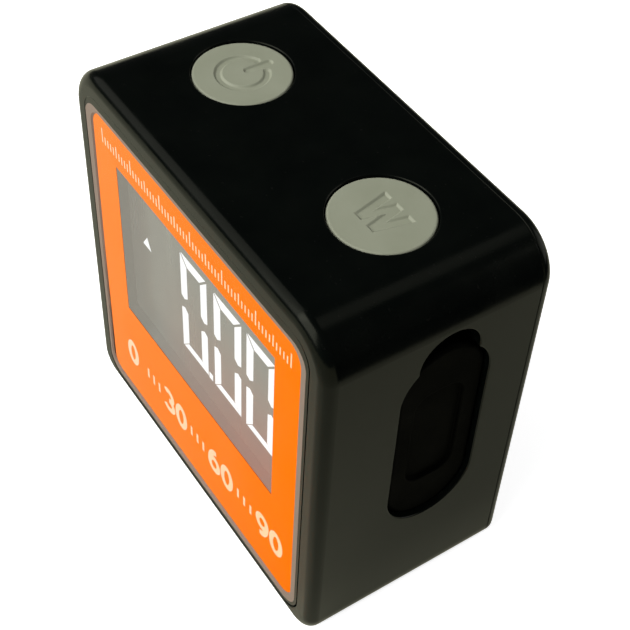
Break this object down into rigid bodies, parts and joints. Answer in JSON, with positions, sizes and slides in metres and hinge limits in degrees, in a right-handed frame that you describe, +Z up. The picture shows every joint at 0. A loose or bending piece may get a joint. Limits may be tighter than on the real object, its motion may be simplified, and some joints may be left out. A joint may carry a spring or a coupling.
{
  "type": "digital angle gauge",
  "caption": "Pocket digital angle gauge: a small moulded cube with a lit display behind a coloured face, push buttons on top, a covered charging port in one end and magnets in its flat base.",
  "frame": {"origin": "middle of the flat base, on the surface that the gauge stands on", "axes": "+Z up, the display faces -Y, +X to the right as seen from the front"},
  "size_m": [0.04, 0.0216, 0.04],
  "materials": {
    "case_plastic": "satin black moulded",
    "lens": "clear gloss",
    "face_print": "orange print under the lens",
    "grey_tape": "matt adhesive frame",
    "display": "grey display with lit segments",
    "white_plastic": "satin",
    "contact_rubber": "layered contact rubber",
    "circuit_board": "green resist",
    "chip": "matt",
    "button": "matt grey",
    "cover_rubber": "matt black",
    "steel": "plain",
    "dark_steel": "blackened",
    "magnet_plating": "nickel plated",
    "cell_foil": "matt foil",
    "pale_tape": "double-sided tape",
    "lead_sleeve": "sleeved lead"
  },
  "bodies": {
    "case": {"front_case": "case_plastic", "rear_cover": "case_plastic", "front_lens": "lens", "face_print": "face_print", "lens_tape": "grey_tape", "lcd_glass": "display", "lcd_backlight": "white_plastic", "lcd_frame": "white_plastic", "lcd_connector": "contact_rubber", "main_board": "circuit_board", "microcontroller": "chip", "tilt_sensor": "chip", "charge_controller": "chip", "power_switch": "chip", "mode_switch": "chip", "charge_socket_shell": "steel", "charge_socket_tongue": "chip", "battery": "cell_foil", "battery_tape": "pale_tape", "battery_connector": "white_plastic", "battery_leads": "lead_sleeve", "base_magnets": "magnet_plating", "board_screws": "steel", "cover_screws": "dark_steel"},
    "power_key": {"power_button": "button", "power_switch_plunger": "white_plastic"},
    "mode_key": {"mode_button": "button", "mode_switch_plunger": "white_plastic"},
    "port_flap": {"port_cover": "cover_rubber"}
  },
  "joints": [
    {"name": "power_press", "type": "slide", "parent": "case", "child": "power_key", "axis": [0, 0, -1], "range_m": [0, 0.00035], "stiffness_N_per_m": 3000},
    {"name": "mode_press", "type": "slide", "parent": "case", "child": "mode_key", "axis": [0, 0, -1], "range_m": [0, 0.00035], "stiffness_N_per_m": 3000},
    {"name": "cover_pull", "type": "slide", "parent": "case", "child": "port_flap", "axis": [1, 0, 0], "range_m": [0, 0.006]}
  ]
}
